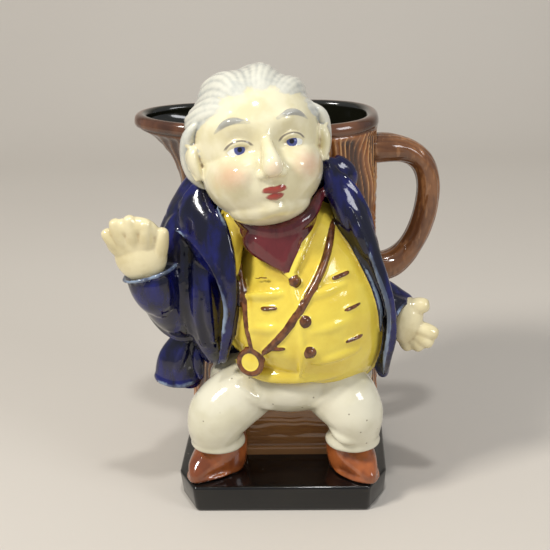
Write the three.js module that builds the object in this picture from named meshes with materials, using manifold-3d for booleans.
// A glazed earthenware toby jug: a hollow tree-stump jug with a pouring lip and a loop handle,
// fronted by a stout seated gentleman, all slip-cast as one piece on a chamfered base.
// Units are millimetres, +Z is up, the figure faces -Y and the origin is the middle of the underside.

import * as THREE from 'three';
import { mergeVertices } from 'three/addons/utils/BufferGeometryUtils.js';
import Module from 'manifold-3d';

// The whole stands as high as its figure
const FIGURE_HEIGHT = 160.5;

// Base
const BASE_WIDTH = 82.4;
const BASE_DEPTH = 86.8;
const BASE_HEIGHT = 11;
const BASE_CORNER_X = 7;
const BASE_CORNER_Y = 14.5;
const BASE_EDGE_ROUND = 1.2;

// Stump, the vessel itself
const JUG_HEIGHT = 145.5;
const STUMP_WIDTH = 79;
const STUMP_DEPTH = 54;
const STUMP_BACK_GAP = 2.9;
const STUMP_SQUARENESS = 2.5;
const WALL = 4.5;
const FLOOR = 6;
const FLOOR_ROUND = 8;
const RIM_BAND = 5;
const RIM_ROUND = 1.8;
const BARK_DEPTH = 1.3;
const BARK_RIDGES = 18;

// Pouring lip
const LIP_REACH = 16.2;
const LIP_DROP = 32;
const LIP_BEAD = 4.5;
const LIP_SPREAD = 0.42;
const LIP_RISE = 1.5;

// Handle
const HANDLE_DROP = 15;
const HANDLE_SPAN = 50;
const HANDLE_REACH = 22.5;
const HANDLE_LIFT = 7;
const HANDLE_THICKNESS = 9.6;
const HANDLE_WIDTH = 11.5;
const HANDLE_TURN = THREE.MathUtils.degToRad(12);

// Seat board between the legs
const BOARD_WIDTH = 35;
const BOARD_OFFSET = 2;
const BOARD_HEIGHT = 25;
const BOARD_PROUD = 2.5;
const BOARD_LIP_HEIGHT = 3.4;
const BOARD_LIP_PROUD = 1.2;

// Pose of the head
const HEAD_TURN = THREE.MathUtils.degToRad(14);
const HEAD_LEAN = THREE.MathUtils.degToRad(5);
const HEAD_TIP = THREE.MathUtils.degToRad(16);

// Figures worked out from the driving dimensions
const STUMP_BACK = BASE_DEPTH / 2 - STUMP_BACK_GAP;
const STUMP_FRONT = STUMP_BACK - STUMP_DEPTH;
const STUMP_MIDDLE = (STUMP_BACK + STUMP_FRONT) / 2;
const FIGURE_SCALE = FIGURE_HEIGHT / 160.5; // the free form below is drawn 160.5 high
const JOIN = 1.5; // how deep a piece is sunk into its neighbour before the two are joined

const wasm = await Module();
wasm.setup();

const vector = (x, y, z) => new THREE.Vector3(x, y, z);
const TOWARDS_VIEWER = vector(0, -1, 0);
const BACKWARDS = vector(0, 1, 0);
const UPWARDS = vector(0, 0, 1);

// Turns a closed three.js geometry into a solid that can be joined and cut.
function solid(geometry) {
  const bare = geometry.clone();
  bare.deleteAttribute('normal');
  bare.deleteAttribute('uv');
  const merged = mergeVertices(bare, 1e-4);
  return new wasm.Manifold(new wasm.Mesh({
    numProp: 3,
    vertProperties: merged.attributes.position.array,
    triVerts: new Uint32Array(merged.index.array),
  }));
}

const join = (solids) => solids.reduce((whole, piece) => whole.add(piece));

function smoothstep(low, high, value) {
  const share = THREE.MathUtils.clamp((value - low) / (high - low), 0, 1);
  return share * share * (3 - 2 * share);
}

// A closed round body strung along stations [x, y, z, half width, half depth]. Its half depth lies towards `facing`.
// `blunt` 1 gives pointed-oval ends, and smaller values give fuller ends.
function strand(stations, { around = 12, along = 8, facing = TOWARDS_VIEWER, blunt = 0.6, bend = null } = {}) {
  const path = new THREE.CatmullRomCurve3(stations.map(([x, y, z]) => vector(x, y, z)));
  const sizes = new THREE.CatmullRomCurve3(stations.map(([, , , width, depth]) => vector(width, depth, 0)));
  const geometry = new THREE.SphereGeometry(1, around, along);
  const position = geometry.attributes.position;
  const unit = vector(0, 0, 0);
  for (let i = 0; i < position.count; i += 1) {
    unit.fromBufferAttribute(position, i);
    const share = (1 - unit.y) / 2;
    const ring = Math.hypot(unit.x, unit.z);
    const fullness = ring < 1e-6 ? 0 : ring ** blunt / ring;
    const tangent = path.getTangent(share);
    const depthAxis = facing.clone().addScaledVector(tangent, -facing.dot(tangent)).normalize();
    const widthAxis = depthAxis.clone().cross(tangent);
    const size = sizes.getPoint(share);
    const point = path.getPoint(share)
      .addScaledVector(widthAxis, unit.x * fullness * size.x)
      .addScaledVector(depthAxis, unit.z * fullness * size.y);
    if (bend) bend(point);
    position.setXYZ(i, point.x, point.y, point.z);
  }
  return geometry;
}

// An ellipsoid with its middle at (x, y, z) and half sizes a, b and c along X, Y and Z.
function ball([x, y, z], [a, b, c], { around = 14, rings = 9 } = {}) {
  return new THREE.SphereGeometry(1, around, rings).rotateX(Math.PI / 2).scale(a, b, c).translate(x, y, z);
}

// Base: a low block with long chamfers at its corners and softened edges.
function base() {
  const halfWidth = BASE_WIDTH / 2 - BASE_EDGE_ROUND;
  const halfDepth = BASE_DEPTH / 2 - BASE_EDGE_ROUND;
  const outline = [[1, -1], [1, 1], [-1, 1], [-1, -1]].flatMap(([sideX, sideY]) => {
    const alongX = new THREE.Vector2(sideX * (halfWidth - BASE_CORNER_X), sideY * halfDepth);
    const alongY = new THREE.Vector2(sideX * halfWidth, sideY * (halfDepth - BASE_CORNER_Y));
    return sideX * sideY < 0 ? [alongX, alongY] : [alongY, alongX];
  });
  return new THREE.ExtrudeGeometry(new THREE.Shape(outline), {
    depth: BASE_HEIGHT - 2 * BASE_EDGE_ROUND,
    bevelThickness: BASE_EDGE_ROUND,
    bevelSize: BASE_EDGE_ROUND,
    bevelSegments: 1,
  }).translate(0, 0, BASE_EDGE_ROUND);
}

// How far round from the pouring lip an angle is, in radians. The lip points to -X.
const fromLip = (angle) => Math.PI - Math.abs(angle);

// The stump's smooth outer radius at an angle round it and a height.
function stumpRadius(angle, height) {
  const across = Math.abs(Math.cos(angle)) / (STUMP_WIDTH / 2);
  const deep = Math.abs(Math.sin(angle)) / (STUMP_DEPTH / 2);
  const body = (across ** STUMP_SQUARENESS + deep ** STUMP_SQUARENESS) ** (-1 / STUMP_SQUARENESS);
  const climb = THREE.MathUtils.clamp((height - JUG_HEIGHT + LIP_DROP) / (LIP_DROP - LIP_BEAD), 0, 1);
  const flare = Math.exp(-((fromLip(angle) / LIP_SPREAD) ** 2));
  return body + LIP_REACH * flare * climb ** 3;
}

// Wandering upright ridges, from 0 in a furrow to 1 on a ridge.
function barkRidge(angle, height) {
  const wander = 0.16 * Math.sin(height / 13) + 0.1 * Math.sin(height / 7.3 + 3 * angle);
  return 0.5 + 0.5 * Math.cos(BARK_RIDGES * (angle + wander));
}

// A closed upright body: `radiusAt(angle, height)` round the stump's middle, through a list of heights.
function turned(heights, around, radiusAt, rise) {
  const geometry = new THREE.CylinderGeometry(1, 1, 1, around, heights.length - 1);
  geometry.rotateX(Math.PI / 2);
  const position = geometry.attributes.position;
  for (let i = 0; i < position.count; i += 1) {
    const x = position.getX(i);
    const y = position.getY(i);
    const height = heights[Math.round((position.getZ(i) + 0.5) * (heights.length - 1))];
    const angle = Math.atan2(y, x);
    const radius = Math.hypot(x, y) < 1e-6 ? 0 : radiusAt(angle, height);
    const out = vector(Math.cos(angle), Math.sin(angle), 0).multiplyScalar(radius);
    position.setXYZ(i, out.x, STUMP_MIDDLE + out.y, height + rise(angle, height));
  }
  return geometry;
}

// The rim climbs a little towards the pouring lip.
const lipRise = (angle, height) => LIP_RISE * Math.exp(-((fromLip(angle) / 0.6) ** 2))
  * smoothstep(JUG_HEIGHT - LIP_DROP, JUG_HEIGHT, height);

function stumpOutside() {
  const bandFoot = JUG_HEIGHT - RIM_BAND;
  const barkSteps = 7;
  const heights = Array.from({ length: barkSteps + 1 }, (_, i) => BASE_HEIGHT - JOIN
    + (bandFoot - BASE_HEIGHT + JOIN) * (i / barkSteps));
  heights.push(bandFoot + 0.12 * RIM_BAND, JUG_HEIGHT - RIM_ROUND, JUG_HEIGHT);
  const radiusAt = (angle, height) => {
    const rounding = THREE.MathUtils.clamp((height - JUG_HEIGHT + RIM_ROUND) / RIM_ROUND, 0, 1);
    const onBand = height > bandFoot + 0.06 * RIM_BAND;
    const bark = onBand ? 0 : BARK_DEPTH * (barkRidge(angle, height) - 1);
    return stumpRadius(angle, height) + bark - RIM_ROUND * (1 - Math.sqrt(1 - 0.98 * rounding ** 2));
  };
  return turned(heights, 3 * BARK_RIDGES, radiusAt, lipRise);
}

// The hollow of the jug: the outside drawn in by the wall, rounded at the floor and opened at the rim.
function stumpInside() {
  const floor = BASE_HEIGHT + FLOOR;
  const heights = [floor, floor + 0.3 * FLOOR_ROUND, floor + FLOOR_ROUND, JUG_HEIGHT - LIP_DROP,
    JUG_HEIGHT - 0.6 * LIP_DROP, JUG_HEIGHT - 0.35 * LIP_DROP, JUG_HEIGHT - RIM_ROUND, JUG_HEIGHT + 3 * RIM_ROUND];
  const radiusAt = (angle, height) => {
    const low = THREE.MathUtils.clamp((floor + FLOOR_ROUND - height) / FLOOR_ROUND, 0, 1);
    const drawnIn = FLOOR_ROUND * (1 - Math.sqrt(1 - 0.9 * low ** 2));
    const opened = height > JUG_HEIGHT ? RIM_ROUND * 0.8 : 0;
    return stumpRadius(angle, Math.min(height, JUG_HEIGHT)) - BARK_DEPTH / 2 - WALL - drawnIn + opened;
  };
  return turned(heights, 28, radiusAt, lipRise);
}

// The loop handle, swept from high on the stump's side down to its middle, thicker where it is rooted.
function handle() {
  const middle = JUG_HEIGHT - HANDLE_DROP - HANDLE_SPAN / 2;
  const steps = 10;
  const loop = Array.from({ length: steps + 1 }, (_, i) => {
    const angle = Math.PI * (i / steps);
    const out = HANDLE_REACH * Math.sin(angle) ** 0.85;
    const up = (HANDLE_SPAN / 2) * Math.cos(angle) + HANDLE_LIFT * Math.sin(angle) ** 2;
    const flare = 1 + 0.4 * Math.abs(Math.cos(angle)) ** 9;
    return [out, 0, up, (HANDLE_THICKNESS / 2) * flare, (HANDLE_WIDTH / 2) * flare];
  });
  const sunk = ([, , up, thick, wide]) => [-2 * JOIN, 0, up, thick, wide];
  return [strand([sunk(loop[0]), ...loop, sunk(loop.at(-1))],
    { around: 10, along: 17, facing: BACKWARDS, blunt: 0.2 })
    .rotateZ(HANDLE_TURN).translate(STUMP_WIDTH / 2 - JOIN, STUMP_MIDDLE, middle)];
}

// The board of the seat between the legs, with a narrow step along its foot.
function seatBoard() {
  const deep = WALL + BOARD_PROUD;
  const board = new THREE.BoxGeometry(BOARD_WIDTH, deep, BOARD_HEIGHT + JOIN)
    .translate(BOARD_OFFSET, STUMP_FRONT + deep / 2 - BOARD_PROUD, BASE_HEIGHT + BOARD_HEIGHT / 2 - JOIN / 2);
  const step = new THREE.BoxGeometry(BOARD_WIDTH, deep, BOARD_LIP_HEIGHT + JOIN)
    .translate(BOARD_OFFSET, STUMP_FRONT + deep / 2 - BOARD_PROUD - BOARD_LIP_PROUD,
      BASE_HEIGHT + BOARD_LIP_HEIGHT / 2 - JOIN / 2);
  return [board, step];
}

// The figure is drawn from here on with its origin on the base's top, in line with the stump's front.

// Torso stations from lap to neck: [x, y, z, half width, half depth].
const TORSO = [
  [5, -3, 38.5, 16, 14], [6.2, -2.6, 43, 28.5, 28], [7.8, -2.3, 49, 32, 32], [9.3, -2, 58, 33.5, 35.3],
  [9.5, -2, 68, 33, 35.3], [9, -2, 78, 31, 33], [8, -2, 88, 27.5, 29.5], [5.5, -2, 98, 23, 25], [1, -2, 110, 14, 18],
];

// How far forward the torso reaches at a place seen from the front.
function torsoFront(x, z) {
  const upper = Math.max(1, TORSO.findIndex((station) => station[2] > z));
  const [low, high] = [TORSO[upper - 1], TORSO[upper]];
  const share = (z - low[2]) / (high[2] - low[2]);
  const [middle, back, , width, depth] = low.map((value, i) => value + (high[i] - value) * share);
  return back - depth * Math.sqrt(Math.max(0.05, 1 - ((x - middle) / width) ** 2));
}

function torso() {
  return [
    strand(TORSO, { around: 18, along: 10, blunt: 0.35 }),
    // the hem, which overhangs the lap
    strand([[-19, -19, 51, 1.6, 1.6], [-12.5, -24, 47.6, 2.4, 2.2], [-3, -28.6, 46.8, 2.6, 2.2],
      [8, -30.6, 47.4, 2.6, 2.2], [20, -28.6, 48.4, 2.6, 2.2], [30, -22.8, 49.6, 2.4, 2.2],
      [37, -12.4, 51, 1.6, 1.6]], { around: 6, along: 9 }),
  ];
}

// The neckcloth: rolls round the throat and a bib that narrows to the waistcoat's point.
function neckcloth() {
  const bib = strand([[-2, -23, 106, 15, 6], [1, -27, 98, 10, 4.5], [4.5, -30.5, 88, 2, 2.5]],
    { around: 8, along: 5 });
  const rolls = [[103.5, 17], [99, 14]].map(([z, reach]) => strand(
    [[-reach, -13, z + 8, 2.6, 2.6], [-reach * 0.55, -24, z + 2, 3, 3], [2, -28, z, 3, 3],
      [3 + reach * 0.55, -23.5, z + 4, 3, 3], [reach + 1, -12, z + 11, 2.6, 2.6]],
    { around: 6, along: 7, facing: UPWARDS }));
  return [bib, ...rolls];
}

function buttons() {
  return [[7.4, 85.9], [10.8, 71.8], [12.2, 60.1]].map(([x, z]) => new THREE.CylinderGeometry(1.7, 2.2, 4, 8)
    .rotateX(Math.PI / 2).translate(x, torsoFront(x, z) + 2, z));
}

// The cord round the neck, which ends in a flat round fob.
function neckCord() {
  const lay = (places) => places.map(([x, z]) => [x, torsoFront(x, z) - 0.4, z, 1.1, 1.2]);
  const left = strand(lay([[-13, 92], [-12, 82], [-11.2, 70], [-9.5, 59]]), { around: 4, along: 5, blunt: 0.3 });
  const right = strand(lay([[20.5, 105], [20.6, 99], [17.6, 90], [11, 79], [3.4, 68], [-5.5, 57.6]]),
    { around: 4, along: 8, blunt: 0.3 });
  const [x, z] = [-9.8, 53.6];
  const fob = new THREE.LatheGeometry([[0, -3], [5.5, -3], [5.5, 1], [4.8, 2], [4, 2], [3.6, 1], [0, 1]]
    .map(([radius, out]) => new THREE.Vector2(radius, out)), 10)
    .rotateX(Math.PI / 2 - 0.12).rotateZ(-0.35).translate(x, torsoFront(x, z) + 2.4, z);
  return [left, right, fob];
}

// Coat: its body behind the waistcoat, then a lapel, a collar and a hanging tail each side.
function coat() {
  return [
    strand([[2, 4, 36, 30, 10], [2, 3, 48, 37.5, 15], [2.5, 2, 68, 38, 18], [2, 2, 88, 34, 17], [-1, 2, 106, 27, 14],
      [-4, 2, 117, 16, 10]], { around: 18, along: 8, blunt: 0.35 }),
    // viewer's left: front panel, lapel with its point over the shoulder, rolled edge, collar and tail
    strand([[-27, -7, 106, 8, 9], [-27.5, -12, 90, 9.5, 9], [-27, -14, 70, 9.5, 10], [-25.5, -13, 54, 6.5, 9],
      [-24.5, -12, 46, 4.5, 6]], { around: 9, along: 6, blunt: 0.4 }),
    strand([[-27, -13, 117, 4, 3], [-28, -17.5, 107, 9, 3.6], [-22.5, -23, 96, 8.4, 3.6], [-17.6, -26.5, 85, 4, 3.4],
      [-16.6, -27, 73, 2.6, 3], [-18.4, -26.5, 61, 2.4, 2.8], [-20.6, -24.5, 50.5, 1.8, 2.4]],
    { around: 8, along: 9, blunt: 0.4, facing: vector(-0.35, -1, 0.1) }),
    strand([[-38.5, -16.5, 102.5, 1, 1.2], [-30, -22, 98, 1.4, 1.4], [-22, -27.5, 88.5, 1.5, 1.5],
      [-18.2, -29.6, 77, 1.5, 1.5], [-19.4, -28.6, 64, 1.5, 1.5], [-22.2, -26, 50.5, 1.3, 1.3]],
    { around: 5, along: 9 }),
    strand([[-19, 2, 116, 4, 3.4], [-27, -5, 116.5, 5, 3.6], [-33.5, -8, 109, 5, 4], [-39, -9, 102, 3.6, 4]],
      { around: 7, along: 6, facing: vector(-1, 0, 0.4) }),
    strand([[-34, -4, 58, 4.6, 5], [-37.4, -4, 49, 8.2, 7.4], [-40, -4, 40, 9.6, 8.4], [-40.8, -4, 34.6, 8.8, 8]],
      { around: 9, along: 6, blunt: 0.3 }),
    // viewer's right: broad lapel, narrow front edge down the side, rolled edge and collar
    strand([[18.5, -9, 124, 3, 4], [24, -12.5, 114, 6.6, 5], [28.6, -14, 104, 6.8, 5.6], [32.6, -15, 94, 5, 6],
      [36.8, -16, 84, 3.2, 6], [39.8, -16, 72, 2.4, 7], [40.4, -15, 60, 2.4, 8], [39.2, -13.5, 48, 2.6, 7],
      [39.4, -12, 39.5, 2.2, 5]], { around: 8, along: 10, blunt: 0.4, facing: vector(0.6, -1, 0) }),
    strand([[28, -19, 110, 1, 1], [33, -20.5, 97, 1.4, 1.4], [37, -21.5, 85, 1.4, 1.4], [40.8, -22, 73, 1.4, 1.4],
      [41.4, -22, 62, 1.4, 1.4], [39.8, -19.5, 49, 1.3, 1.3], [39.8, -16, 40, 1.1, 1.1]], { around: 5, along: 9 }),
    strand([[19, -9, 124, 3, 4], [26, -3, 117, 5, 4], [20, 4, 114, 5, 4]],
      { around: 6, along: 5, facing: vector(1, 0, 0.4) }),
  ];
}

// Sleeves with a turned cuff, one forearm raised and one held low.
function sleeves() {
  return [
    strand([[-24, -5, 108, 9, 10], [-33, -8, 99, 9, 10], [-36, -9, 80, 9.5, 10], [-34, -8, 60, 8.5, 9]],
      { around: 10, along: 6 }),
    strand([[-32, -6, 58, 8, 8], [-37.4, -10, 64, 8.6, 9], [-42.8, -16, 74, 8.8, 9.2], [-46.4, -21, 83.6, 9.4, 9.2]],
      { around: 12, along: 6, blunt: 0.32, facing: vector(0.5, -1, 0.6) }),
    strand([[-45.9, -20.2, 81.6, 10, 9.6], [-46.7, -21.6, 85, 10, 9.6]],
      { around: 12, along: 4, blunt: 0.22, facing: vector(0.5, -1, 0.6) }),
    strand([[22, -2, 108, 8, 9], [29, -2, 93, 7.4, 9], [32, -4, 80, 7.6, 9], [35, -6, 66, 8, 9]],
      { around: 9, along: 6, blunt: 0.35 }),
    strand([[30, -4, 74, 8, 8], [37, -7, 68, 9, 9], [42, -9, 63, 10.2, 9.4], [45, -10, 61, 10.8, 9.6]],
      { around: 12, along: 6, blunt: 0.28 }),
  ];
}

// Open hands: a palm, four fingers set close together and a thumb.
function hands() {
  const finger = (root, tip, radius) => strand([[...root, radius, radius], [...tip, radius * 0.95, radius * 0.9]],
    { around: 5, along: 4, blunt: 0.45 });
  const raised = [
    strand([[-46.8, -21.5, 84, 7, 6], [-48.4, -24, 92, 9.6, 5.8], [-50, -25.5, 101, 10.4, 4.8]],
      { around: 8, along: 5, blunt: 0.5 }),
    finger([-54.5, -25.5, 97], [-60.6, -27.5, 104.6], 3.6),
    finger([-52.4, -26, 98], [-57, -28.5, 108.8], 3.7),
    finger([-49.5, -26, 99], [-51.2, -29, 110], 3.8),
    finger([-46.5, -26, 99], [-45.4, -29, 108.2], 3.7),
    finger([-43.8, -24.5, 92], [-40, -26.5, 104.6], 3.8),
  ];
  const lowered = [
    strand([[44, -9, 61, 9, 8], [49, -10, 60.6, 9.2, 6.6], [54, -10.5, 60, 7.6, 5.4]],
      { around: 8, along: 5, blunt: 0.5 }),
    finger([52, -11, 59.6], [59.4, -13, 56.4], 3.2),
    finger([51.5, -11, 57.4], [58, -13, 52.8], 3.1),
    finger([49.5, -10.5, 56], [54, -12.4, 51.4], 3),
    finger([47.4, -10, 55.6], [49.6, -11.6, 51.4], 2.9),
    finger([48.5, -10, 66], [56.4, -12, 67.8], 3.4),
  ];
  return [...raised, ...lowered];
}

// Breeches: a broad lap, thighs spread over the seat and calves down to the boots.
function breeches() {
  return [
    ball([4, -7, 38], [32, 21.5, 13], { around: 16, rings: 7 }),
    strand([[-2, -10, 39, 11, 10], [-15, -17, 36, 14, 12], [-24.6, -20.5, 28.4, 13, 12],
      [-25.6, -20, 20.5, 11.4, 10.8], [-24.6, -19, 14.6, 10.8, 10]], { around: 13, along: 8, blunt: 0.3 }),
    strand([[11, -10, 39, 11, 10], [20, -16, 37, 13.5, 12], [27.4, -20, 29, 12, 12], [28.6, -19.6, 21, 10.6, 10.6],
      [27.8, -18.6, 15, 10.2, 9.8]], { around: 13, along: 8, blunt: 0.3 }),
  ];
}

// Short boots, turned out, each an ankle and a pointed foot.
function boots() {
  const boot = (ankle, heel, toe) => [
    strand([[...ankle, 19, 8.6, 8.6], [ankle[0], ankle[1] - 0.5, 10, 9.2, 9.2], [ankle[0], ankle[1] - 1, -JOIN, 9, 9]],
      { around: 10, along: 3, blunt: 0.3 }),
    strand([[heel[0], heel[1], 4.6, 6, 5], [(heel[0] + toe[0]) / 2, (heel[1] + toe[1]) / 2, 6.4, 8.4, 7.4],
      [toe[0] * 0.92, toe[1] * 0.82, 4.4, 6.4, 5.4], [toe[0], toe[1], 2.6, 3.8, 3.2]],
      { around: 9, along: 7, facing: UPWARDS, blunt: 0.45 }),
  ];
  return [
    ...boot([-23, -12], [-19, -4], [-34, -24.6]),
    ...boot([26.5, -12], [22, -4], [34.6, -26]),
  ];
}

// Combed hair: a cap whose locks run from the brow over the crown to the nape.
function hair() {
  const locks = 9;
  const cap = new THREE.SphereGeometry(1, 3 * locks, 8);
  const position = cap.attributes.position;
  for (let i = 0; i < position.count; i += 1) {
    const [x, y, z] = [position.getX(i), position.getY(i), position.getZ(i)];
    const relief = 1 + 0.05 * Math.cos(locks * Math.atan2(z, x)) * Math.hypot(x, z);
    position.setXYZ(i, x * relief, y, z * relief);
  }
  return cap.scale(24.2, 23.5, 22.6).translate(0, 4, 8);
}

// Head, drawn about its own middle facing -Y and then turned, leaned and tipped into place.
function head() {
  const mirrored = (build) => [1, -1].flatMap((side) => build(side));
  const skull = [
    ball([0, 1, 5], [23, 22.5, 22.5], { around: 16, rings: 9 }),
    ball([0, -2, -7.5], [21.8, 19.6, 18.4], { around: 18, rings: 9 }),
    ball([0, -4, -20], [15, 11.5, 7.6], { around: 12, rings: 6 }),
  ];
  const face = [
    strand([[0, -20, 4, 2.2, 2], [0, -22, -2.6, 2.8, 3.2], [0, -23.8, -8, 4, 4.4], [0, -22.4, -10.6, 3.4, 3]],
      { around: 7, along: 6 }),
    strand([[-7, -17.4, -15.6, 1, 1], [-3, -19.2, -14.9, 1.8, 1.5], [0, -19.4, -15.4, 1.5, 1.4],
      [3, -19.2, -14.9, 1.8, 1.5], [7, -17.4, -15.6, 1, 1]], { around: 5, along: 7, facing: UPWARDS }),
    strand([[-5.6, -17.2, -16.6, 1, 1], [0, -18.4, -17.9, 1.9, 1.8], [5.6, -17.2, -16.6, 1, 1]],
      { around: 5, along: 5, facing: UPWARDS }),
    ball([0, -13.6, -22.4], [8, 5, 4.4], { around: 8, rings: 5 }),
  ];
  const paired = mirrored((side) => [
    ball([side * 12.4, -12.6, -9.6], [8.6, 6.6, 7.8], { around: 9, rings: 6 }),
    ball([side * 3.6, -21.2, -10.2], [2.4, 2.6, 2.2], { around: 6, rings: 4 }),
    ball([side * 9.6, -16.6, 0], [4.8, 3.6, 3.2], { around: 8, rings: 5 }),
    strand([[side * 17, -14.4, 6.6, 1, 1], [side * 11, -18.6, 9, 2, 1.9], [side * 4, -20.8, 7.6, 1.4, 1.4]],
      { around: 5, along: 5, facing: UPWARDS }),
    strand([[side * 22, -1, 6, 1.6, 3], [side * 24, -1.6, 1, 2.4, 5], [side * 22.5, -3, -8, 1.8, 3]],
      { around: 7, along: 5, facing: TOWARDS_VIEWER }),
  ]);
  const tufts = mirrored((side) => Array.from({ length: 3 }, (_, i) => strand([
    [side * (19 - i), -6 + 8 * i, 13 - i, 2.6, 4],
    [side * (23.6 - 1.2 * i), -2 + 7.5 * i, 7 - 2 * i, 4, 5],
    [side * (22.6 - 2 * i), 4 + 6 * i, -3 - 2 * i, 4, 5],
    [side * (19.6 - 2 * i), 8 + 4.6 * i, -11, 2.6, 3],
  ], { around: 6, along: 5, facing: TOWARDS_VIEWER })));
  const place = new THREE.Matrix4().makeTranslation(-5, -15.5, 130.5)
    .multiply(new THREE.Matrix4().makeRotationY(-HEAD_LEAN))
    .multiply(new THREE.Matrix4().makeRotationZ(HEAD_TURN))
    .multiply(new THREE.Matrix4().makeRotationX(-HEAD_TIP));
  return [...skull, ...face, ...paired, hair(), ...tufts].map((shape) => shape.applyMatrix4(place));
}

function figure() {
  const shapes = [torso, neckcloth, buttons, neckCord, coat, sleeves, hands, breeches, boots, head]
    .flatMap((build) => build());
  return shapes.map((shape) => shape.scale(FIGURE_SCALE, FIGURE_SCALE, FIGURE_SCALE)
    .translate(0, STUMP_FRONT, BASE_HEIGHT));
}

// One casting: everything is joined, and then the jug's hollow is cut out of it.
function casting() {
  const outside = [base(), stumpOutside(), ...handle(), ...seatBoard(), ...figure()].map(solid);
  const whole = join(outside).subtract(solid(stumpInside()));
  const { vertProperties, triVerts, numProp } = whole.getMesh();
  const places = new Float32Array((vertProperties.length / numProp) * 3);
  for (let i = 0; i < places.length / 3; i += 1) {
    places.set(vertProperties.subarray(i * numProp, i * numProp + 3), i * 3);
  }
  const geometry = new THREE.BufferGeometry();
  geometry.setAttribute('position', new THREE.BufferAttribute(places, 3));
  geometry.setIndex(new THREE.BufferAttribute(triVerts, 1));
  geometry.computeVertexNormals();
  return geometry;
}

const glaze = new THREE.MeshStandardMaterial({ color: 0x7a4a20, roughness: 0.2, metalness: 0 });
const jug = new THREE.Mesh(casting(), glaze);
jug.name = 'toby_jug';

const part = new THREE.Group();
part.add(jug);
export default part;
